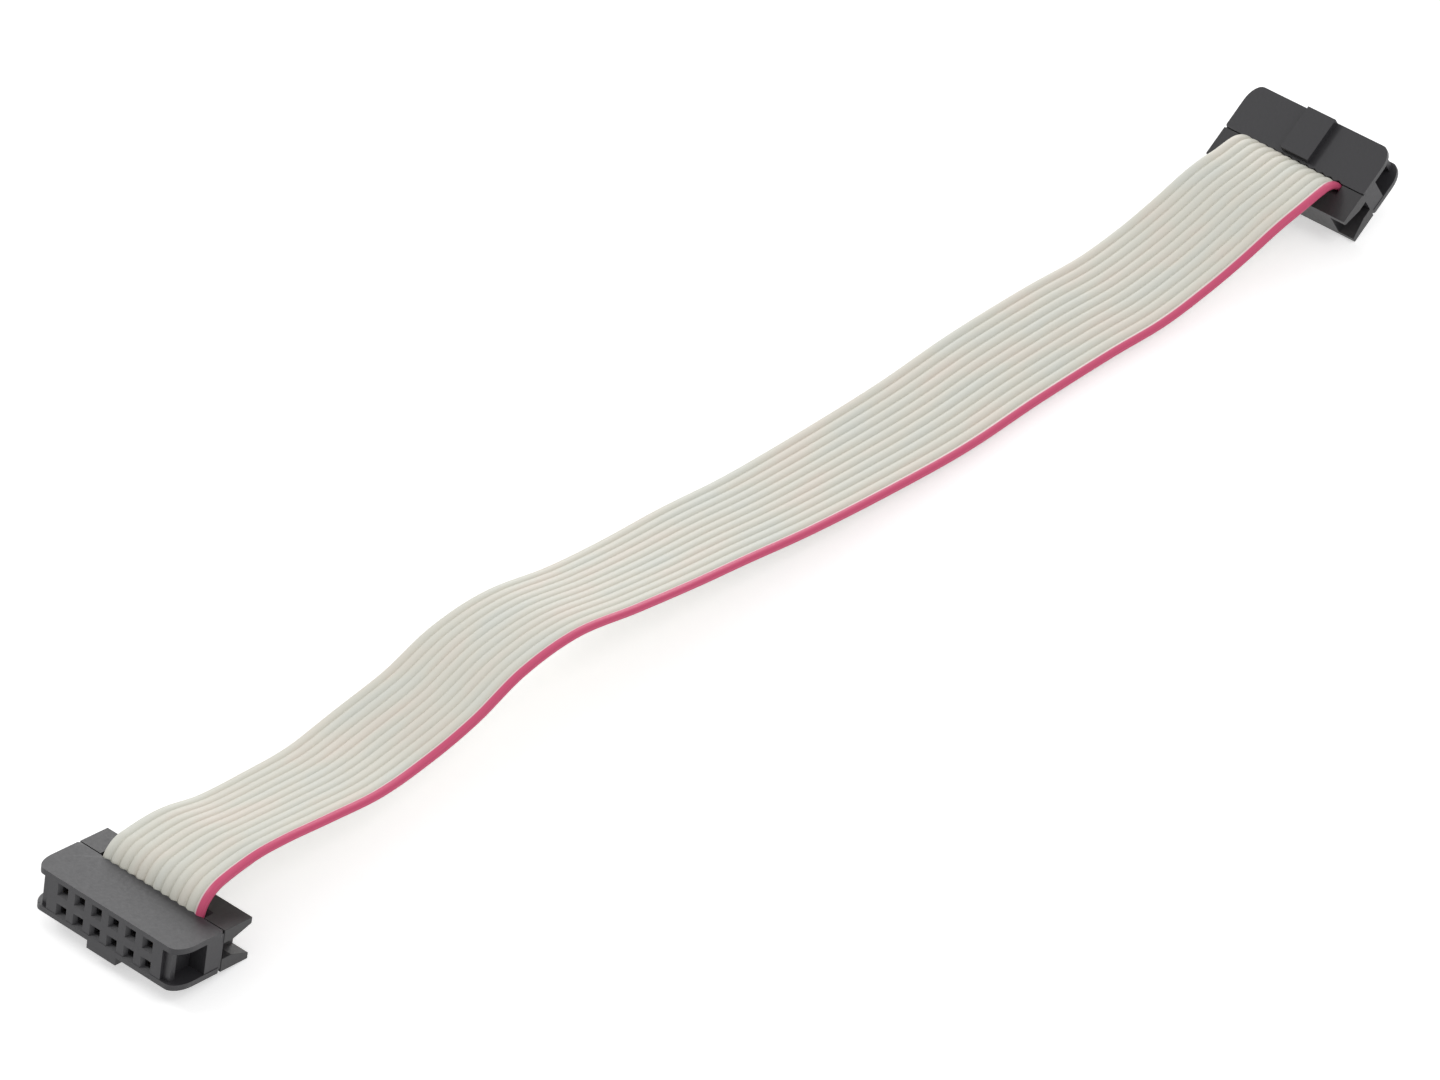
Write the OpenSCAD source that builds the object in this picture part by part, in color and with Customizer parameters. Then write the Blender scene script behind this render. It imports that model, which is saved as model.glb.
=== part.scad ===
// Flat ribbon cable with a twelve-way insulation-displacement socket on each end.
// Socket frame: X across the contacts, Y away from the key, Z out of the mating face.
// Part frame: X runs from socket A to socket B, Z is up, the sockets rest on Z = 0.

/* [Contacts] */
// Contacts in each of the two rows
ways = 6; // [3:1:8]
// Spacing of the contacts along a row
pitch = 2; // [1.8:0.05:2.54]
// Spacing of the two rows
row_gap = 2; // [1.8:0.05:2.54]
// Thickness of the contact strip
strip_t = 0.2; // [0.12:0.02:0.25]
// Gap between the two spring beams where they grip a pin
beam_gap = 0.42; // [0.3:0.02:0.5]
// Width of the wire slot between the two cutting tines
wire_slot = 0.22; // [0.16:0.02:0.3]

/* [Socket] */
// From the outer contact to the end of the side plates
end_reach = 3.6; // [3.2:0.1:4.2]
// Thickness across the two side plates
body_t = 4.2; // [4:0.1:5]
// Depth from the mating face to the back of the body
body_d = 5.5; // [5.2:0.1:6.5]
// Depth of the cover behind the body
cover_d = 3.3; // [2.8:0.1:4.5]
// Thickness of the side plates where they overhang the hole block
plate_t = 0.55; // [0.4:0.05:0.7]
// Width of the side plates' rounded front corners
corner_w = 1.2; // [0.8:0.1:1.6]
// Length of the side plates' rounded front corners along their ends
corner_l = 2.1; // [1.4:0.1:2.8]
// Radius of the side plates' rear corners
rear_r = 0.3; // [0.1:0.1:1]
// Gap between the side plates and the cover
plate_gap = 0.12; // [0.06:0.02:0.2]
// From the outer contact to the end of the hole block
block_reach = 1.75; // [1.5:0.05:2]
// Width of the post at each end of the hole block
post_w = 0.8; // [0.5:0.05:1]
// Set-back of the post behind the mating face
post_set = 0.4; // [0.1:0.05:0.8]
// Width of the pin holes
hole_w = 0.7; // [0.56:0.02:0.8]
// Width of the lead-in at the mouth of each pin hole
lead_w = 1.24; // [1:0.02:1.4]
// Depth of the lead-in
lead_d = 0.4; // [0.2:0.05:0.6]
// Width of the polarising key
key_w = 3.4; // [2.4:0.1:4]
// Height of the polarising key
key_h = 0.75; // [0.5:0.05:1]

/* [Cover] */
// Mouth of the V notch in each end of the cover
notch_mouth = 3; // [2:0.1:3.6]
// Width of the notch's straight throat
notch_throat = 1.6; // [0.6:0.1:2]
// Length of the throat behind the body
throat_d = 1.15; // [0.5:0.05:2]
// Reach of the notch along the cover
notch_reach = 1.8; // [1:0.1:2.2]

/* [Ribbon] */
// Thickness of the ribbon over a conductor
ribbon_t = 0.72; // [0.6:0.02:0.8]
// Thickness of the web between conductors
web_t = 0.3; // [0.2:0.02:0.4]
// Clearance between the ribbon and the clamp faces
clamp_gap = 0.03; // [0.02:0.01:0.06]

/* [Lie] */
// Distance between the two mating faces along X
span = 158.4; // [156:0.2:160]
// Sideways drift of socket B
drift = -12.5; // [-14:0.1:-11]
// Tilt of socket A's mating face
tilt_a = 12.9; // [10:0.1:15]
// Tilt of socket B's mating face
tilt_b = 31.8; // [29:0.1:34]
// Turn of socket B about the vertical
turn_b = -2.1; // [-4:0.1:0]
// Bend radius of the ribbon at socket A
bend_a = 2.8; // [2.6:0.1:3.4]
// Bend radius of the ribbon at socket B
bend_b = 3.3; // [3:0.1:4]

/* [Hidden] */
$fn = 48;
total = 2 * ways;
wire_pitch = pitch / 2;
ribbon_w = total * wire_pitch;
row_len = (ways - 1) * pitch;
body_l = row_len + 2 * end_reach;
block_l = row_len + 2 * block_reach;
total_d = body_d + cover_d;
key_side = -1;
free_side = 1;
slop = 0.01;

// Clamp slot: the ribbon's middle plane lies just behind the body's back face
slot_set = 0.1;
slot_z = -body_d - slot_set;
slot_play = 0.15;
slot_l = ribbon_w + 2 * slot_play;
flare_d = 0.9;
flare_h = 0.7;
flare_lead = 0.25;

// Contact cavity
face_wall = 0.85;
cavity_x = 1.24;
cavity_y = 0.9;
seat_z = -4.2;
fork_w = 0.84;
fork_play = 0.05;
tine_depth = 0.62;
pocket_y = strip_t + 2 * fork_play;

// Contact: spring beams, their splayed tips, the seat and the cutting tines
beam_x = cavity_x / 2 - 0.06;
beam_y = cavity_y / 2 - 0.1;
tip_z = -face_wall - 0.1;
grip_z = tip_z - 0.5;
tip_splay = 0.14;
base_z = seat_z + 0.4;
shank_w = 0.4;
tine_tip = slot_z - tine_depth;
tine_root = slot_z + ribbon_t / 2 + 0.14;
tine_point = 0.3;
slot_floor = 0.08;
pocket_floor = 0.15;

// End details
face_set = 0.03;
column_set = 0.05;
key_set = 0.5;
hollow_z = -0.95;
column_z = -3.5;
corner_steps = 8;

function contact_x(i) = (floor(i / 2) - (ways - 1) / 2) * pitch;
function contact_y(i) = (i % 2 == 0 ? 1 : -1) * row_gap / 2;
function wire_x(i) = (i - (total - 1) / 2) * wire_pitch;
function two_digits(n) = n < 10 ? str("0", n) : str(n);

contact_names = [for (end = ["a", "b"], i = [1:total]) str("contact_", end, "_", two_digits(i))];

// Places of the two sockets: each stands on its cover's lower rear edge
lift_a = body_t / 2 * cos(tilt_a) + total_d * sin(tilt_a);
lift_b = body_t / 2 * cos(tilt_b) + total_d * sin(tilt_b);
origin_a = [-79.6, 6.55, lift_a];
origin_b = [origin_a[0] + span, origin_a[1] + drift, lift_b];

module at_socket_a() {
    translate(origin_a)
        rotate([0, tilt_a, 0])
            rotate([90, 0, -90])
                children();
}

module at_socket_b() {
    translate(origin_b)
        rotate([0, 0, turn_b])
            rotate([0, -tilt_b, 0])
                rotate([-90, 0, -90])
                    children();
}

// Box given by its low and high corners
module span_box(low, high) {
    translate(low)
        cube(high - low);
}

// Outline of a side plate, looking through its thickness: long round corners in front, small ones behind
module plate_outline() {
    half = body_l / 2;
    rear = plate_gap - body_d;
    turns = [for (k = [0:corner_steps]) 90 * k / corner_steps];
    right = concat(
        [for (q = turns) [half - corner_w * (1 - sin(q)), -corner_l * (1 - cos(q))]],
        [for (q = turns) [half - rear_r * (1 - cos(q)), rear + rear_r * (1 - sin(q))]]
    );
    left = [for (k = [len(right) - 1:-1:0]) [-right[k][0], right[k][1]]];
    polygon(concat(right, left));
}

module side_plate(side) {
    inner = body_t / 2 - plate_t;
    translate([0, side > 0 ? body_t / 2 : -inner, 0])
        rotate([90, 0, 0])
            linear_extrude(plate_t)
                plate_outline();
}

module end_frame(side) {
    inner = body_t / 2 - plate_t / 2;
    x0 = side * (block_l / 2 - slop);
    x1 = side * (block_l / 2 + post_w);
    low = min(x0, x1);
    high = max(x0, x1);
    // front post, set back behind the mating face
    span_box([low, -inner, hollow_z], [high, inner, -post_set]);
    // column beside the clamp slot
    column_low = side > 0 ? block_l / 2 - slop : -body_l / 2 + column_set;
    column_high = side > 0 ? body_l / 2 - column_set : -block_l / 2 + slop;
    span_box([column_low, -inner, -body_d], [column_high, inner, column_z]);
}

// Square pin hole with a tapered mouth
module pin_hole() {
    translate([-hole_w / 2, -hole_w / 2, -face_wall - slop])
        cube([hole_w, hole_w, face_wall + 2 * slop]);
    translate([0, 0, -lead_d])
        rotate([0, 0, 45])
            cylinder(h = lead_d + slop, d1 = hole_w * sqrt(2), d2 = lead_w * sqrt(2), $fn = 4);
}

// Space for one contact: spring chamber in front, narrow fork pocket behind
module contact_cavity(i) {
    x = contact_x(i);
    y = contact_y(i);
    fork_x = wire_x(i);
    translate([x, y, 0])
        pin_hole();
    span_box([x - cavity_x / 2, y - cavity_y / 2, seat_z],
             [x + cavity_x / 2, y + cavity_y / 2, -face_wall]);
    span_box([min(x - cavity_x / 2, fork_x - fork_w / 2 - fork_play), y - pocket_y / 2, -body_d - slop],
             [max(x + cavity_x / 2, fork_x + fork_w / 2 + fork_play), y + pocket_y / 2, seat_z + slop]);
}

// Bed for the ribbon: a V groove along each conductor, facing the mating face or the cover's back
module ribbon_bed(facing) {
    web = slot_z + facing * (web_t / 2 + clamp_gap);
    groove = slot_z + facing * (ribbon_t / 2 + clamp_gap);
    open = -body_d - facing * slop;
    translate([0, body_t / 2 + slop, 0])
        rotate([90, 0, 0])
            linear_extrude(body_t + 2 * slop)
                polygon(concat(
                    [[slot_l / 2, open], [-slot_l / 2, open], [-slot_l / 2, web]],
                    [for (i = [0:total - 1])
                        each [[wire_x(i) - wire_pitch / 2, web], [wire_x(i), groove]]],
                    [[ribbon_w / 2, web], [slot_l / 2, web]]
                ));
}

module socket_body() {
    color([0.16, 0.16, 0.17])
        difference() {
            union() {
                span_box([-block_l / 2, -body_t / 2 + plate_t / 2, -body_d],
                         [block_l / 2, body_t / 2 - plate_t / 2, -face_set]);
                side_plate(key_side);
                side_plate(free_side);
                end_frame(-1);
                end_frame(1);
                span_box([-key_w / 2, -body_t / 2 - key_h, -body_d + key_set],
                         [key_w / 2, -body_t / 2 + plate_t / 2, 0]);
            }
            for (i = [0:total - 1])
                contact_cavity(i);
            ribbon_bed(1);
        }
}

// The bed widens to a flare where the ribbon leaves the slot
module slot_flare(side) {
    y0 = side * (body_t / 2 - flare_d - flare_lead);
    y1 = side * (body_t / 2 + slop);
    translate([slot_l / 2, 0, 0])
        rotate([0, -90, 0])
            linear_extrude(slot_l)
                polygon([
                    [slot_z - web_t / 2, y0],
                    [slot_z - ribbon_t / 2 - flare_h, y1],
                    [-body_d + slop, y1],
                    [-body_d + slop, y0]
                ]);
}

// Notch in one end of the cover: a V that opens to the back, and a throat that reaches the body
module end_notch(side) {
    x0 = side > 0 ? body_l / 2 - notch_reach : -body_l / 2 - slop;
    translate([x0 + notch_reach + slop, 0, 0])
        rotate([0, -90, 0])
            linear_extrude(notch_reach + slop)
                polygon([
                    [-total_d - slop, -notch_mouth / 2],
                    [-total_d - slop, notch_mouth / 2],
                    [-body_d - throat_d, notch_throat / 2],
                    [-body_d + slop, notch_throat / 2],
                    [-body_d + slop, -notch_throat / 2],
                    [-body_d - throat_d, -notch_throat / 2]
                ]);
}

module tine_pockets(i) {
    x = wire_x(i);
    y = contact_y(i);
    reach = tine_tip - pocket_floor;
    span_box([x - fork_w / 2 - fork_play, y - pocket_y / 2, reach],
             [x + fork_w / 2 + fork_play, y + pocket_y / 2, -body_d + slop]);
}

module socket_cover() {
    color([0.18, 0.18, 0.19])
        difference() {
            span_box([-body_l / 2, -body_t / 2, -total_d], [body_l / 2, body_t / 2, -body_d]);
            ribbon_bed(-1);
            for (i = [0:total - 1])
                tine_pockets(i);
            slot_flare(key_side);
            slot_flare(free_side);
            end_notch(-1);
            end_notch(1);
        }
}

// Flat shape of one spring beam
module beam_outline(side) {
    grip = beam_gap / 2;
    polygon([
        [side * beam_x, base_z],
        [side * (grip + strip_t), grip_z],
        [side * (grip + strip_t + tip_splay), tip_z],
        [side * (grip + tip_splay), tip_z],
        [side * grip, grip_z],
        [side * (beam_x - strip_t), base_z]
    ]);
}

// Flat shape of one pointed cutting tine
module tine_outline(side) {
    outer = side * fork_w / 2;
    polygon([
        [0, seat_z],
        [outer, seat_z],
        [outer, tine_tip + tine_point],
        [outer - side * tip_splay, tine_tip],
        [side * wire_slot / 2, tine_tip + tine_point - slot_floor],
        [0, tine_tip + tine_point - slot_floor]
    ]);
}

// Flat shape of the forked blade, x apart from the wire it cuts into
module fork_outline(x, fork_x) {
    difference() {
        union() {
            translate([min(x - shank_w, fork_x - fork_w / 2), tine_root])
                square([abs(x - fork_x) + shank_w + fork_w / 2, seat_z - tine_root]);
            for (side = [-1, 1])
                translate([fork_x, 0])
                    tine_outline(side);
        }
        translate([fork_x - wire_slot / 2, tine_tip - tine_depth])
            square([wire_slot, tine_root + tine_depth - tine_tip - slot_floor]);
    }
}

// One contact: two spring beams in front, a seat, and a forked blade behind
module contact(i) {
    x = contact_x(i);
    y = contact_y(i);
    color([0.83, 0.72, 0.45]) {
        for (side = [-1, 1])
            translate([x, y + beam_y, 0])
                rotate([90, 0, 0])
                    linear_extrude(2 * beam_y)
                        beam_outline(side);
        span_box([x - beam_x, y - beam_y, seat_z], [x + beam_x, y + beam_y, base_z]);
        translate([0, y + strip_t / 2, 0])
            rotate([90, 0, 0])
                linear_extrude(strip_t)
                    fork_outline(x, wire_x(i));
    }
}

// Holes that the two tines of one contact cut in the ribbon
module tine_cuts(i) {
    x = wire_x(i);
    y = contact_y(i);
    for (side = [-1, 1]) {
        inner = x + side * (wire_slot / 2 - slop);
        outer = x + side * (fork_w / 2 + slop);
        span_box([min(inner, outer), y - strip_t / 2 - slop, slot_z - ribbon_t],
                 [max(inner, outer), y + strip_t / 2 + slop, slot_z + ribbon_t]);
    }
}

// Route of the ribbon's middle line: x, y, z and the sideways tilt in degrees
rise = [
    [-67.5, 6.5, 6, 7],
    [-63.5, 6, 5.5, 11],
    [-58.5, 5.5, 4.9, 10],
    [-53, 5, 4.4, 8],
    [-47.5, 5, 4.4, 6],
    [-41.5, 4.5, 5.4, 7],
    [-35, 4.5, 6.7, 8],
    [-28.5, 4, 7, 9],
    [-21.5, 3, 5.9, 9],
    [-14.5, 2.5, 4.7, 7],
    [-7, 2, 3.7, 4],
    [1, 1, 2.9, 2],
    [11, 0, 2.3, -2],
    [21, -1, 2.1, -6],
    [31, -1.5, 2.1, -8],
    [41, -2.5, 2.2, -8],
    [48, -3.5, 2.3, -7],
    [54, -4, 2.8, -6],
    [59, -4.5, 3.8, -6],
    [64, -5, 5.1, -6],
    [67.5, -5.5, 5.8, -4]
];

// Directions of each socket in the part frame
s_a = [sin(tilt_a), 0, cos(tilt_a)];
m_a = [-cos(tilt_a), 0, sin(tilt_a)];
s_b = [sin(tilt_b) * cos(turn_b), sin(tilt_b) * sin(turn_b), -cos(tilt_b)];
m_b = [cos(tilt_b) * cos(turn_b), cos(tilt_b) * sin(turn_b), sin(tilt_b)];

// Points where the ribbon is cut, is clamped, and bends round beside each socket
clamp_half = body_t / 2 - flare_d;
trim = body_t / 2 - 0.05;
turn_a = 77;
turn_end = 60;
steps = 7;
function in_a(s, back) = origin_a + s * s_a + (slot_z - back) * m_a;
function in_b(s, back) = origin_b + s * s_b + (slot_z - back) * m_b;
function with_tilt(p, t) = [p[0], p[1], p[2], t];
arc_a = [for (k = [0:steps]) let (q = turn_a * k / steps)
    with_tilt(in_a(clamp_half + bend_a * sin(q), bend_a * (1 - cos(q))), 5 * k / steps)];
arc_b = [for (k = [steps:-1:0]) let (q = turn_end * k / steps)
    with_tilt(in_b(-clamp_half - bend_b * sin(q), bend_b * (1 - cos(q))), -3 * k / steps)];

// Smooth curve through the free points, from the end of one bend to the start of the other
free = concat([arc_a[steps]], rise, [arc_b[0]]);
function knot(i) = i < 0 ? arc_a[steps - 3] : i >= len(free) ? arc_b[3] : free[i];
function curve(i, f) =
    let (a = knot(i - 1), b = knot(i), c = knot(i + 1), d = knot(i + 2))
    0.5 * (2 * b + (c - a) * f + (2 * a - 5 * b + 4 * c - d) * f * f + (3 * b - a - 3 * c + d) * f * f * f);
flat_from = 12;
flat_to = 18;
free_curve = [for (i = [0:len(free) - 2], f = (i < flat_from || i > flat_to) ? [0, 0.5] : [0]) curve(i, f)];
clamped_a = [with_tilt(in_a(-trim, 0), 0)];
clamped_b = [with_tilt(in_b(trim, 0), 0)];
arc_a_open = [for (k = [0:steps - 1]) arc_a[k]];
route = concat(clamped_a, arc_a_open, free_curve, arc_b, clamped_b);
rings = len(route);

function place(p) = [p[0], p[1], p[2]];
function unit(v) = v / norm(v);
function heading(i) =
    i <= 1 ? s_a :
    i >= rings - 2 ? s_b :
    unit(place(route[i + 1]) - place(route[i - 1]));
function across(i) =
    let (turn = turn_b * i / (rings - 1), ref = [sin(turn), -cos(turn), 0], t = heading(i))
    unit(ref - (ref * t) * t);
function width_axis(i) =
    let (t = heading(i), u = across(i), n = cross(t, u), q = route[i][3])
    u * cos(q) - n * sin(q);
function thick_axis(i) = cross(width_axis(i), heading(i));

// Cross-section: a ridge over each conductor and a thin web between neighbours
function section(first, last) = concat(
    [[wire_x(first) - wire_pitch / 2, web_t / 2]],
    [for (i = [first:last]) each [[wire_x(i), ribbon_t / 2], [wire_x(i) + wire_pitch / 2, web_t / 2]]],
    [for (i = [last:-1:first]) each [[wire_x(i) + wire_pitch / 2, -web_t / 2], [wire_x(i), -ribbon_t / 2]]],
    [[wire_x(first) - wire_pitch / 2, -web_t / 2]]
);

// The shared wall of the grey part and the marked edge has the same diagonals in both
module swept_ribbon(first, last, mirrored) {
    outline = section(first, last);
    n = len(outline);
    points = [for (i = [0:rings - 1], p = outline)
        place(route[i]) + p[0] * width_axis(i) + p[1] * thick_axis(i)];
    walls = [for (i = [0:rings - 2], j = [0:n - 1])
        let (a = i * n + j, b = i * n + (j + 1) % n, c = a + n, d = b + n)
        each mirrored ? [[a, b, c], [b, d, c]] : [[a, b, d], [a, d, c]]];
    start_cap = [[for (j = [n - 1:-1:0]) j]];
    end_cap = [[for (j = [0:n - 1]) (rings - 1) * n + j]];
    polyhedron(points, concat(walls, start_cap, end_cap));
}

module ribbon_cuts(first, last) {
    for (i = [first:last]) {
        at_socket_a()
            tine_cuts(i);
        at_socket_b()
            tine_cuts(i);
    }
}

module ribbon() {
    color([0.85, 0.85, 0.82])
        difference() {
            swept_ribbon(0, total - 2, false);
            ribbon_cuts(0, total - 2);
        }
}

module ribbon_marked_edge() {
    color([0.83, 0.3, 0.45])
        difference() {
            swept_ribbon(total - 1, total - 1, true);
            ribbon_cuts(total - 1, total - 1);
        }
}

at_socket_a() socket_body();  // socket_body_a
at_socket_a() socket_cover();  // socket_cover_a
at_socket_b() socket_body();  // socket_body_b
at_socket_b() socket_cover();  // socket_cover_b
ribbon();
ribbon_marked_edge();
for (i = [0:total - 1]) {
    at_socket_a() contact(i);
    at_socket_b() contact(i);
}
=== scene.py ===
"""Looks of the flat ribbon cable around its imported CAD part.

Lengths are in metres, or in millimetres where a comment or a name says so.
"""
from math import cos, pi, radians, sin

import bpy
import numpy as np
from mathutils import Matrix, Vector


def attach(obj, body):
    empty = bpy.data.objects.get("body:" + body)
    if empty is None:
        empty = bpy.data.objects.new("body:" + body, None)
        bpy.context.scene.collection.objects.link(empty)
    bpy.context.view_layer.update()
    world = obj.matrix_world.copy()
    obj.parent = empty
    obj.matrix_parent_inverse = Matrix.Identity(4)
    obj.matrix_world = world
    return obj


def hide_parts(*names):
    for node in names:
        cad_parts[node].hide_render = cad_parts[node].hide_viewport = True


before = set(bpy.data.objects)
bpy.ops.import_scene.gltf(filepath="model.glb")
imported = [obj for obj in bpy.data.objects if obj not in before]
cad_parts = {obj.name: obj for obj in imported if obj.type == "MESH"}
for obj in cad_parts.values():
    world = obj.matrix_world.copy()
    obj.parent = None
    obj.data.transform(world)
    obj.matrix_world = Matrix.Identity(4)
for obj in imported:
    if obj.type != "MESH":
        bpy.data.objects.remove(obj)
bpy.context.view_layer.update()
MM = 0.001

# Camera: lens and sensor in millimetres, nearest and farthest visible distance
CAMERA_PLACE = (-0.3091, -0.2563, 0.3311)
CAMERA_TURN = (radians(50.466), 0.0, radians(-49.649))
LENS = 141.33
SENSOR = 36.0
CLIP = (0.01, 10)

# Sockets in millimetres, as in the part's source: sizes, place of A's mating face, way from A to B,
# tilts, and B's turn
BODY_THICK = 4.2
TOTAL_DEPTH = 8.8
SLOT_Z = -5.6
FACE_A = (-79.6, 6.55)
SPAN = 158.4
DRIFT = -12.5
TILT_A = radians(12.9)
TILT_B = radians(31.8)
TURN_B = radians(-2.1)

# The ribbon's section in millimetres. Its ridges are rounder than in the source and its valleys thinner.
WIRES = 12
WIRE_PITCH = 1.0
RIBBON_THICK = 0.72
VALLEY_THICK = 0.26
RIDGE_HALF = 0.46
RIDGE_PARTS = 8
# Points of the long edges: how far beyond the outermost ridge, and how high
EDGE = [(0.03, 0.08), (0.04, 0)]
# Where the marked edge begins, measured across from the middle line
RED_FROM = 5.02

# How the ribbon leaves its clamps, in millimetres: bend radii, half the clamp, and the cut end's distance
# from the slot's middle. The sideways tilt at the end of each bend is in degrees.
BEND_RADIUS_A = 2.8
BEND_RADIUS_B = 3.3
CLAMP_HALF = 1.2
CUT_PLACE = 2.05
BEND_ANGLE_A = radians(77)
BEND_ANGLE_B = radians(60)
BEND_TILT_A = 5
BEND_TILT_B = -3

# Number of steps in a bend, in a clamp and between two points of the middle line. At both ends the
# heading is held over the last few points, and the spline takes its slope from some steps back in the bend.
BEND_STEPS = 28
CLAMP_STEPS = 5
SPLINE_STEPS = 12
HELD_STEPS = 3
SLOPE_STEPS = 12

# The ribbon's middle line between its bends: x, y, z in millimetres and the sideways tilt in degrees
MIDDLE_LINE = [
    (-67.5, 6.5, 6, 7),
    (-63.5, 6, 5.5, 11),
    (-58.5, 5.5, 4.9, 10),
    (-53, 5, 4.4, 8),
    (-47.5, 5, 4.4, 6),
    (-41.5, 4.5, 5.4, 7),
    (-35, 4.5, 6.7, 8),
    (-28.5, 4, 7, 9),
    (-21.5, 3, 5.9, 9),
    (-14.5, 2.5, 4.7, 7),
    (-7, 2, 3.7, 4),
    (1, 1, 2.9, 2),
    (11, 0, 2.3, -2),
    (21, -1, 2.1, -6),
    (31, -1.5, 2.1, -8),
    (41, -2.5, 2.2, -8),
    (48, -3.5, 2.3, -7),
    (54, -4, 2.8, -6),
    (59, -4.5, 3.8, -6),
    (64, -5, 5.1, -6),
    (67.5, -5.5, 5.8, -4),
]


def lift(tilt):
    """Height of a socket's mating face centre when the socket stands on its cover's lower rear edge."""
    return BODY_THICK / 2 * cos(tilt) + TOTAL_DEPTH * sin(tilt)


ORIGIN_A = np.array([*FACE_A, lift(TILT_A)])
ORIGIN_B = np.array([ORIGIN_A[0] + SPAN, ORIGIN_A[1] + DRIFT, lift(TILT_B)])
SLOT_A = np.array([sin(TILT_A), 0, cos(TILT_A)])
MATING_A = np.array([-cos(TILT_A), 0, sin(TILT_A)])
SLOT_B = np.array([sin(TILT_B) * cos(TURN_B), sin(TILT_B) * sin(TURN_B), -cos(TILT_B)])
MATING_B = np.array([cos(TILT_B) * cos(TURN_B), cos(TILT_B) * sin(TURN_B), sin(TILT_B)])


def in_a(s, back):
    """Point in socket A's slot, s along the slot and some way back from it."""
    return ORIGIN_A + s * SLOT_A + (SLOT_Z - back) * MATING_A


def in_b(s, back):
    """The same for socket B."""
    return ORIGIN_B + s * SLOT_B + (SLOT_Z - back) * MATING_B


CUT_A = in_a(-CUT_PLACE, 0)
CUT_B = in_b(CUT_PLACE, 0)


# Route of the ribbon

def bend(place, start, radius, angle, tilt):
    """Circular bend beside a socket, from the clamp outwards."""
    out = []
    for k in range(BEND_STEPS + 1):
        q = angle * k / BEND_STEPS
        p = place(start + np.sign(start) * radius * sin(q), radius * (1 - cos(q)))
        out.append(np.append(p, tilt * k / BEND_STEPS))
    return out


def spline(before, points, after):
    """Smooth curve through the points, the neighbours give its slope at both ends."""
    knots = [before] + points + [after]
    out = []
    for i in range(1, len(knots) - 2):
        a, b, c, d = knots[i - 1:i + 3]
        for k in range(SPLINE_STEPS):
            f = k / SPLINE_STEPS
            out.append(0.5 * (2 * b + (c - a) * f + (2 * a - 5 * b + 4 * c - d) * f ** 2
                              + (3 * b - a - 3 * c + d) * f ** 3))
    return out


def straight(start, end):
    """Even steps from the start up to, but without, the end."""
    return [start + (end - start) * k / CLAMP_STEPS for k in range(CLAMP_STEPS)]


def make_route():
    """Points with their tilt, from the cut end in socket A to the cut end in socket B."""
    arc_a = bend(in_a, CLAMP_HALF, BEND_RADIUS_A, BEND_ANGLE_A, BEND_TILT_A)
    arc_b = bend(in_b, -CLAMP_HALF, BEND_RADIUS_B, BEND_ANGLE_B, BEND_TILT_B)[::-1]
    points = [arc_a[-1]] + [np.array(p, float) for p in MIDDLE_LINE] + [arc_b[0]]
    end_b = np.append(CUT_B, 0)
    free = spline(arc_a[-1 - SLOPE_STEPS], points, arc_b[SLOPE_STEPS])
    clamp_a = straight(np.append(CUT_A, 0), arc_a[0])
    clamp_b = straight(arc_b[-1], end_b)
    return np.array(clamp_a + arc_a[:-1] + free + arc_b[:-1] + clamp_b + [end_b])


ROUTE = make_route()
PLACES = ROUTE[:, :3]
STEPS = np.linalg.norm(np.diff(PLACES, axis=0), axis=1)
ALONG = np.append(0, np.cumsum(STEPS))
LENGTH_MM = ALONG[-1]


def cross_directions():
    """Directions of the ribbon's width and thickness at each point of the route."""
    heading = np.gradient(PLACES, ALONG, axis=0)
    heading[:HELD_STEPS] = SLOT_A
    heading[-HELD_STEPS:] = SLOT_B
    heading /= np.linalg.norm(heading, axis=1)[:, None]
    turn = TURN_B * ALONG / LENGTH_MM
    level = np.stack([np.sin(turn), -np.cos(turn), 0 * turn], axis=1)
    level -= (level * heading).sum(1)[:, None] * heading
    level /= np.linalg.norm(level, axis=1)[:, None]
    normal = np.cross(heading, level)
    q = np.radians(ROUTE[:, 3])[:, None]
    width = level * np.cos(q) - normal * np.sin(q)
    return width, np.cross(width, heading)


WIDTH, THICK = cross_directions()


# Cross-section of the ribbon: a rounded ridge over each conductor and a thin web between two

def wire_x(i):
    """Place of a conductor across the ribbon."""
    return (i - (WIRES - 1) / 2) * WIRE_PITCH


def ridge_height(x):
    """Half the thickness at a distance from the conductor's middle."""
    t = min(abs(x) / RIDGE_HALF, 1)
    return VALLEY_THICK / 2 + (RIBBON_THICK - VALLEY_THICK) / 2 * (1 - t ** 2) ** 0.5


def upper_outline():
    """Points of the upper half, from the tip of one edge to the tip of the other."""
    turns = [pi * (k / RIDGE_PARTS - 0.5) for k in range(RIDGE_PARTS + 1)]
    inner = [RIDGE_HALF * sin(q) for q in turns]
    edge = [(RIDGE_HALF + x, y) for x, y in EDGE]
    points = []
    for i in range(WIRES):
        for x in inner:
            points.append((wire_x(i) + x, ridge_height(x)))
    left = [(wire_x(0) - x, y) for x, y in reversed(edge)]
    right = [(wire_x(WIRES - 1) + x, y) for x, y in edge]
    return left + points + right


def outline():
    """The whole section, with its lower half a mirror image of the upper half."""
    upper = upper_outline()
    lower = [(x, -y) for x, y in reversed(upper[1:-1])]
    return np.array(upper + lower)


def mesh_object(name, vertices, faces):
    """Object with flat faces in the scene."""
    mesh = bpy.data.meshes.new(name)
    mesh.from_pydata([tuple(v) for v in vertices], [], faces)
    mesh.validate()
    obj = bpy.data.objects.new(name, mesh)
    bpy.context.scene.collection.objects.link(obj)
    return obj


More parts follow.
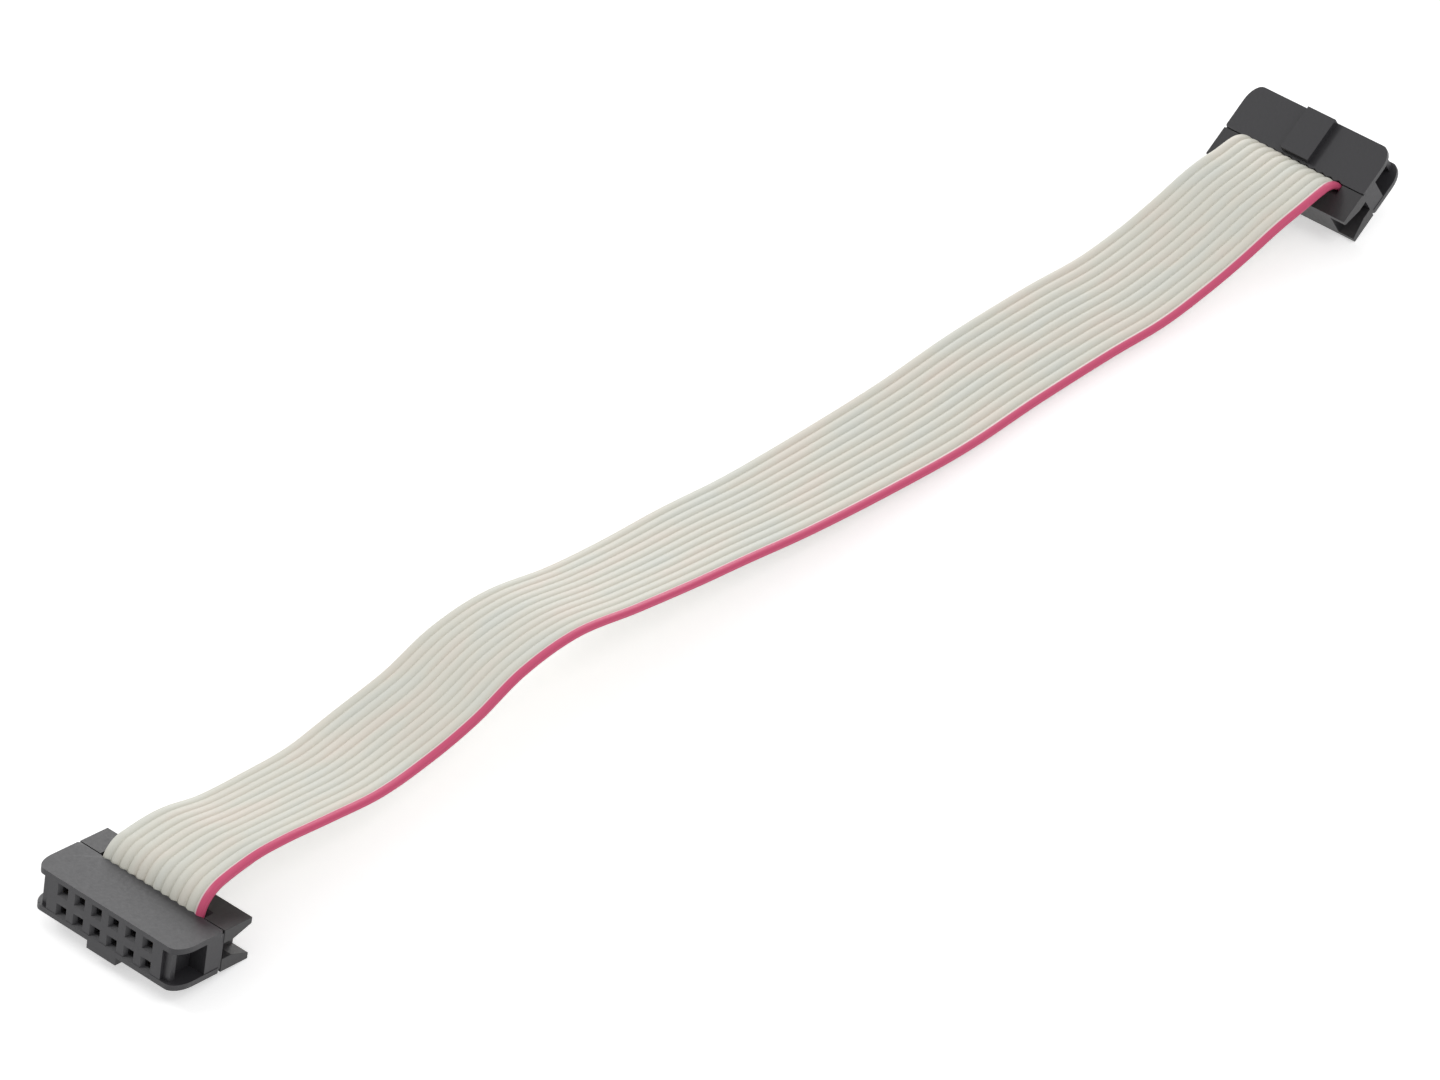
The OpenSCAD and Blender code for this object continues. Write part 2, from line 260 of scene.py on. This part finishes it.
def make_ribbon():
    """The section swept along the route, with both cut ends closed by flat strips."""
    section = outline()
    n = len(section)
    rings = len(ROUTE)
    grid = (PLACES[:, None, :] + section[None, :, :1] * WIDTH[:, None, :]
            + section[None, :, 1:] * THICK[:, None, :])
    faces = [(i * n + j, (i + 1) * n + j, (i + 1) * n + (j + 1) % n, i * n + (j + 1) % n)
             for i in range(rings - 1) for j in range(n)]
    last = (rings - 1) * n
    strips = [(j, j + 1, n - j - 1, (n - j) % n) for j in range(n // 2)]
    caps = [tuple(dict.fromkeys(strip)) for strip in strips]
    faces += caps
    faces += [tuple(last + k for k in reversed(cap)) for cap in caps]
    obj = mesh_object("ribbon_cable", grid.reshape(-1, 3) * MM, faces)
    dress_ribbon(obj, section, rings, len(caps))
    return obj


def dress_ribbon(obj, section, rings, cap_faces):
    """Gives each point its place along and across the ribbon, and each face its material and shading."""
    mesh = obj.data
    along = mesh.attributes.new("along", "FLOAT", "POINT")
    along.data.foreach_set("value", np.repeat(ALONG, len(section)).astype(np.float32))
    across = mesh.attributes.new("across", "FLOAT", "POINT")
    across.data.foreach_set("value", np.tile(section[:, 0], rings).astype(np.float32))
    mesh.materials.append(grey_plastic())
    mesh.materials.append(red_plastic())
    middle = (section[:, 0] + np.roll(section[:, 0], -1)) / 2
    cap_middle = middle[:cap_faces]
    places = np.concatenate([np.tile(middle, rings - 1), cap_middle, cap_middle])
    mesh.polygons.foreach_set("material_index", (places > RED_FROM).astype(np.int32))
    smooth = np.ones(len(mesh.polygons), bool)
    smooth[-2 * cap_faces:] = False
    mesh.polygons.foreach_set("use_smooth", smooth)


# Materials

PALE = (0.79, 0.775, 0.69)
COOL = (0.765, 0.775, 0.71)
WARM = (0.82, 0.765, 0.68)
RED = (0.70, 0.098, 0.208)
# Pink step from pale to red, lightened into a painted highlight on the lit inner flank of the red ridge
PINK_HIGHLIGHT = (0.92, 0.70, 0.73)
# The faint blue in the housing's black is a painted tint of the bluish light that its top reflects
HOUSING = (0.037, 0.036, 0.040)
COVER = (0.032, 0.031, 0.033)
PLATING = (0.78, 0.62, 0.32)
COPPER = (0.80, 0.42, 0.27)

# Colours of the pale patches by noise, and of the marked edge by millimetres from the web's middle. On the
# marked edge the pink border between pale and red is lightened into a painted highlight on the red ridge's
# lit inner flank.
PATCH_STOPS = [(0.32, COOL), (0.5, PALE), (0.66, WARM)]
RED_STOPS = [(0.14, PALE), (0.28, PINK_HIGHLIGHT), (0.38, RED)]

# Noise of the patches: its scales along and across the ribbon, per millimetre, and its detail
PATCH_SCALES = (("along", "X", 0.1), ("across", "Y", 0.3))
PATCH_DETAIL = 3

# Fine grain: noise scale per metre, depth of the bump in metres, lowest and highest roughness.
# A metal's roughness lies between two shares of its own value.
PALE_GRAIN = (2500, 0.00001, 0.44, 0.58)
RED_GRAIN = (2500, 0.00001, 0.34, 0.48)
BLACK_GRAIN = (3000, 0.000012, 0.34, 0.5)
METAL_GRAIN = (4000, 0.000004)
METAL_SHARES = (0.8, 1.2)
GRAIN_DETAIL = 4
GRAIN_STRENGTH = 0.6

# Bevel on the sharp edges of the plastic, with its width in metres
BEVEL = 0.00005
BEVEL_SEGMENTS = 2
BEVEL_ANGLE = radians(35)
# How much the large faces set the shading of their corners, where 50 is neutral
FLAT_WEIGHT = 100
# Corners closer than this are joined, in metres
WELD = 0.000002


def new_material(name, colour, roughness, specular=0.5, metallic=0.0):
    """Plain material. Where grain or a ramp is linked in, that takes the place of the value."""
    material = bpy.data.materials.new(name)
    material.use_nodes = True
    nodes = material.node_tree.nodes
    shader = nodes["Principled BSDF"]
    shader.inputs["Base Color"].default_value = (*colour, 1)
    shader.inputs["Roughness"].default_value = roughness
    shader.inputs["Specular IOR Level"].default_value = specular
    shader.inputs["Metallic"].default_value = metallic
    return material, nodes, material.node_tree.links, shader


def add_grain(nodes, links, shader, scale, depth, rough_low, rough_high):
    """Fine surface grain: a bump and a matching change of roughness."""
    coordinates = nodes.new("ShaderNodeTexCoord")
    noise = nodes.new("ShaderNodeTexNoise")
    noise.inputs["Scale"].default_value = scale
    noise.inputs["Detail"].default_value = GRAIN_DETAIL
    bump = nodes.new("ShaderNodeBump")
    bump.inputs["Distance"].default_value = depth
    bump.inputs["Strength"].default_value = GRAIN_STRENGTH
    spread = nodes.new("ShaderNodeMapRange")
    spread.inputs["To Min"].default_value = rough_low
    spread.inputs["To Max"].default_value = rough_high
    links.new(coordinates.outputs["Object"], noise.inputs["Vector"])
    links.new(noise.outputs["Fac"], bump.inputs["Height"])
    links.new(bump.outputs["Normal"], shader.inputs["Normal"])
    links.new(noise.outputs["Fac"], spread.inputs["Value"])
    links.new(spread.outputs["Result"], shader.inputs["Roughness"])


def attribute(nodes, name):
    """Output with a value that the mesh holds for each point."""
    node = nodes.new("ShaderNodeAttribute")
    node.attribute_name = name
    return node.outputs["Fac"]


def colour_ramp(nodes, stops):
    ramp = nodes.new("ShaderNodeValToRGB")
    elements = ramp.color_ramp.elements
    while len(elements) < len(stops):
        elements.new(0.5)
    for element, (place, colour) in zip(elements, stops):
        element.position = place
        element.color = (*colour, 1)
    return ramp


def ribbon_vector(nodes, links):
    """A vector made of the places along and across the ribbon."""
    both = nodes.new("ShaderNodeCombineXYZ")
    for name, socket, scale in PATCH_SCALES:
        scaled = nodes.new("ShaderNodeMath")
        scaled.operation = "MULTIPLY"
        scaled.inputs[1].default_value = scale
        links.new(attribute(nodes, name), scaled.inputs[0])
        links.new(scaled.outputs[0], both.inputs[socket])
    return both.outputs["Vector"]


def grey_plastic():
    """Pale insulation with faint cooler and warmer patches."""
    material, nodes, links, shader = new_material("ribbon_grey", PALE, roughness=0.42, specular=0.4)
    noise = nodes.new("ShaderNodeTexNoise")
    noise.inputs["Scale"].default_value = 1.0
    noise.inputs["Detail"].default_value = PATCH_DETAIL
    ramp = colour_ramp(nodes, PATCH_STOPS)
    links.new(ribbon_vector(nodes, links), noise.inputs["Vector"])
    links.new(noise.outputs["Fac"], ramp.inputs["Fac"])
    links.new(ramp.outputs["Color"], shader.inputs["Base Color"])
    add_grain(nodes, links, shader, *PALE_GRAIN)
    return material


def red_plastic():
    """The marked edge: pale at the web, then a pink border lightened into a painted highlight on the
    ridge's lit inner flank, then red over the ridge.
    """
    material, nodes, links, shader = new_material("ribbon_red", RED, roughness=0.4, specular=0.4)
    ramp = colour_ramp(nodes, RED_STOPS)
    from_web = nodes.new("ShaderNodeMath")
    from_web.operation = "SUBTRACT"
    from_web.inputs[1].default_value = wire_x(WIRES - 1) - WIRE_PITCH / 2
    links.new(attribute(nodes, "across"), from_web.inputs[0])
    links.new(from_web.outputs[0], ramp.inputs["Fac"])
    links.new(ramp.outputs["Color"], shader.inputs["Base Color"])
    add_grain(nodes, links, shader, *RED_GRAIN)
    return material


def black_plastic(name, colour):
    material, nodes, links, shader = new_material(name, colour, roughness=0.42)
    add_grain(nodes, links, shader, *BLACK_GRAIN)
    return material


def metal(name, colour, roughness):
    material, nodes, links, shader = new_material(name, colour, roughness, metallic=1.0)
    low, high = METAL_SHARES
    add_grain(nodes, links, shader, *METAL_GRAIN, roughness * low, roughness * high)
    return material


def dress(node, material, bevelled):
    """Finish of a CAD node: the material, welded corners and perhaps a small bevel on its sharp edges."""
    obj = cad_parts[node]
    obj.data.materials.clear()
    obj.data.materials.append(material)
    weld = obj.modifiers.new("weld", "WELD")
    weld.merge_threshold = WELD
    if bevelled:
        edge = obj.modifiers.new("edge", "BEVEL")
        edge.width = BEVEL
        edge.segments = BEVEL_SEGMENTS
        edge.limit_method = "ANGLE"
        edge.angle_limit = BEVEL_ANGLE
        flat = obj.modifiers.new("flat", "WEIGHTED_NORMAL")
        flat.keep_sharp = True
        flat.weight = FLAT_WEIGHT


def dress_sockets():
    housing = black_plastic("housing_black", HOUSING)
    cover = black_plastic("cover_black", COVER)
    plated = metal("contact_plated", PLATING, roughness=0.3)
    for end in "ab":
        dress("socket_body_" + end, housing, True)
        dress("socket_cover_" + end, cover, True)
        for i in range(1, WIRES + 1):
            dress(f"contact_{end}_{i:02d}", plated, False)


# Copper strands that show at the cut ends of the conductors

# In millimetres: radius of a strand and of the ring that six of them form, and where a strand begins
# and ends, measured outwards from the cut
STRAND_RADIUS = 0.055
STRAND_RING = 0.11
STRAND_REACH = (-0.2, 0.012)
STRANDS_AROUND = 6
STRAND_SIDES = 10


def strand_spots():
    """Centres of the strands in one conductor: one in the middle and a ring around it."""
    angles = [2 * pi * k / STRANDS_AROUND for k in range(STRANDS_AROUND)]
    return [(0, 0)] + [(STRAND_RING * cos(q), STRAND_RING * sin(q)) for q in angles]


def add_strand(vertices, faces, middle, out, width, thick):
    """A short round rod, closed at both ends."""
    first = len(vertices)
    n = STRAND_SIDES
    for reach in STRAND_REACH:
        for k in range(n):
            q = 2 * pi * k / n
            offset = STRAND_RADIUS * (cos(q) * width + sin(q) * thick)
            vertices.append((middle + offset + reach * out) * MM)
    faces.append(tuple(first + n + k for k in range(n)))
    faces.append(tuple(first + k for k in reversed(range(n))))
    for k in range(n):
        m = (k + 1) % n
        faces.append((first + k, first + m, first + n + m, first + n + k))


def make_copper():
    """One mesh of all the strands at both ends."""
    vertices = []
    faces = []
    cut_ends = [(CUT_A, -SLOT_A, WIDTH[0], THICK[0]), (CUT_B, SLOT_B, WIDTH[-1], THICK[-1])]
    for centre, out, width, thick in cut_ends:
        for i in range(WIRES):
            for u, v in strand_spots():
                middle = centre + (wire_x(i) + u) * width + v * thick
                add_strand(vertices, faces, middle, out, width, thick)
    copper = mesh_object("copper_strands", vertices, faces)
    copper.data.materials.append(metal("copper", COPPER, roughness=0.35))
    return copper


# Floor, light and camera

FLOOR_HALF = 1.5
FLOOR_WHITE = (0.86, 0.86, 0.86)
FLOOR_GLOW = 0.5
WORLD_LIGHT = 0.56

# Place, diameter and power of each lamp. All of them face the frame's origin.
LAMPS = {
    "sheen": ((0.85, 0.55, 0.36), 0.7, 3.3),
    "front": ((0.0, -0.5, 0.75), 0.4, 1.1),
    "key": ((-0.25, 0.7, 0.7), 0.3, 1.7),
}


def seen_or_reflected(nodes, links):
    """1 for rays from the camera and for mirrored or refracted rays, otherwise 0."""
    rays = nodes.new("ShaderNodeLightPath").outputs
    total = rays["Is Camera Ray"]
    for name in ("Is Glossy Ray", "Is Transmission Ray"):
        add = nodes.new("ShaderNodeMath")
        add.use_clamp = True
        links.new(total, add.inputs[0])
        links.new(rays[name], add.inputs[1])
        total = add.outputs[0]
    return total


def make_floor():
    """Pale floor that keeps the object's shadow and glows a little where it is seen or reflected."""
    h = FLOOR_HALF
    corners = [(-h, -h, 0), (h, -h, 0), (h, h, 0), (-h, h, 0)]
    floor = mesh_object("floor", corners, [(0, 1, 2, 3)])
    material, nodes, links, shader = new_material("floor_white", FLOOR_WHITE, roughness=0.9, specular=0.1)
    glow = nodes.new("ShaderNodeEmission")
    glow.inputs["Strength"].default_value = FLOOR_GLOW
    black = nodes.new("ShaderNodeEmission")
    black.inputs["Strength"].default_value = 0.0
    only_seen = nodes.new("ShaderNodeMixShader")
    both = nodes.new("ShaderNodeAddShader")
    links.new(seen_or_reflected(nodes, links), only_seen.inputs["Fac"])
    links.new(black.outputs[0], only_seen.inputs[1])
    links.new(glow.outputs[0], only_seen.inputs[2])
    links.new(shader.outputs[0], both.inputs[0])
    links.new(only_seen.outputs[0], both.inputs[1])
    links.new(both.outputs[0], nodes["Material Output"].inputs["Surface"])
    floor.data.materials.append(material)


def add_lamp(name, place, size, power):
    """Round lamp that faces the origin."""
    data = bpy.data.lights.new(name, "AREA")
    data.shape = "DISK"
    data.size = size
    data.energy = power
    light = bpy.data.objects.new(name, data)
    light.location = place
    light.rotation_euler = (Vector() - Vector(place)).to_track_quat("-Z", "Y").to_euler()
    bpy.context.scene.collection.objects.link(light)


def make_light():
    world = bpy.data.worlds.new("studio")
    world.use_nodes = True
    background = world.node_tree.nodes["Background"]
    background.inputs["Color"].default_value = (1, 1, 1, 1)
    background.inputs["Strength"].default_value = WORLD_LIGHT
    bpy.context.scene.world = world
    for name, (place, size, power) in LAMPS.items():
        add_lamp(name, place, size, power)


def make_camera():
    data = bpy.data.cameras.new("camera")
    data.lens = LENS
    data.sensor_width = SENSOR
    data.clip_start, data.clip_end = CLIP
    camera = bpy.data.objects.new("camera", data)
    camera.location = CAMERA_PLACE
    camera.rotation_euler = CAMERA_TURN
    bpy.context.scene.collection.objects.link(camera)
    bpy.context.scene.camera = camera
    bpy.context.scene.view_settings.view_transform = "Standard"


make_camera()
ribbon = make_ribbon()
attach(ribbon, "root")
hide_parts("ribbon", "ribbon_marked_edge")
copper = make_copper()
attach(copper, "root")
dress_sockets()
make_floor()
make_light()
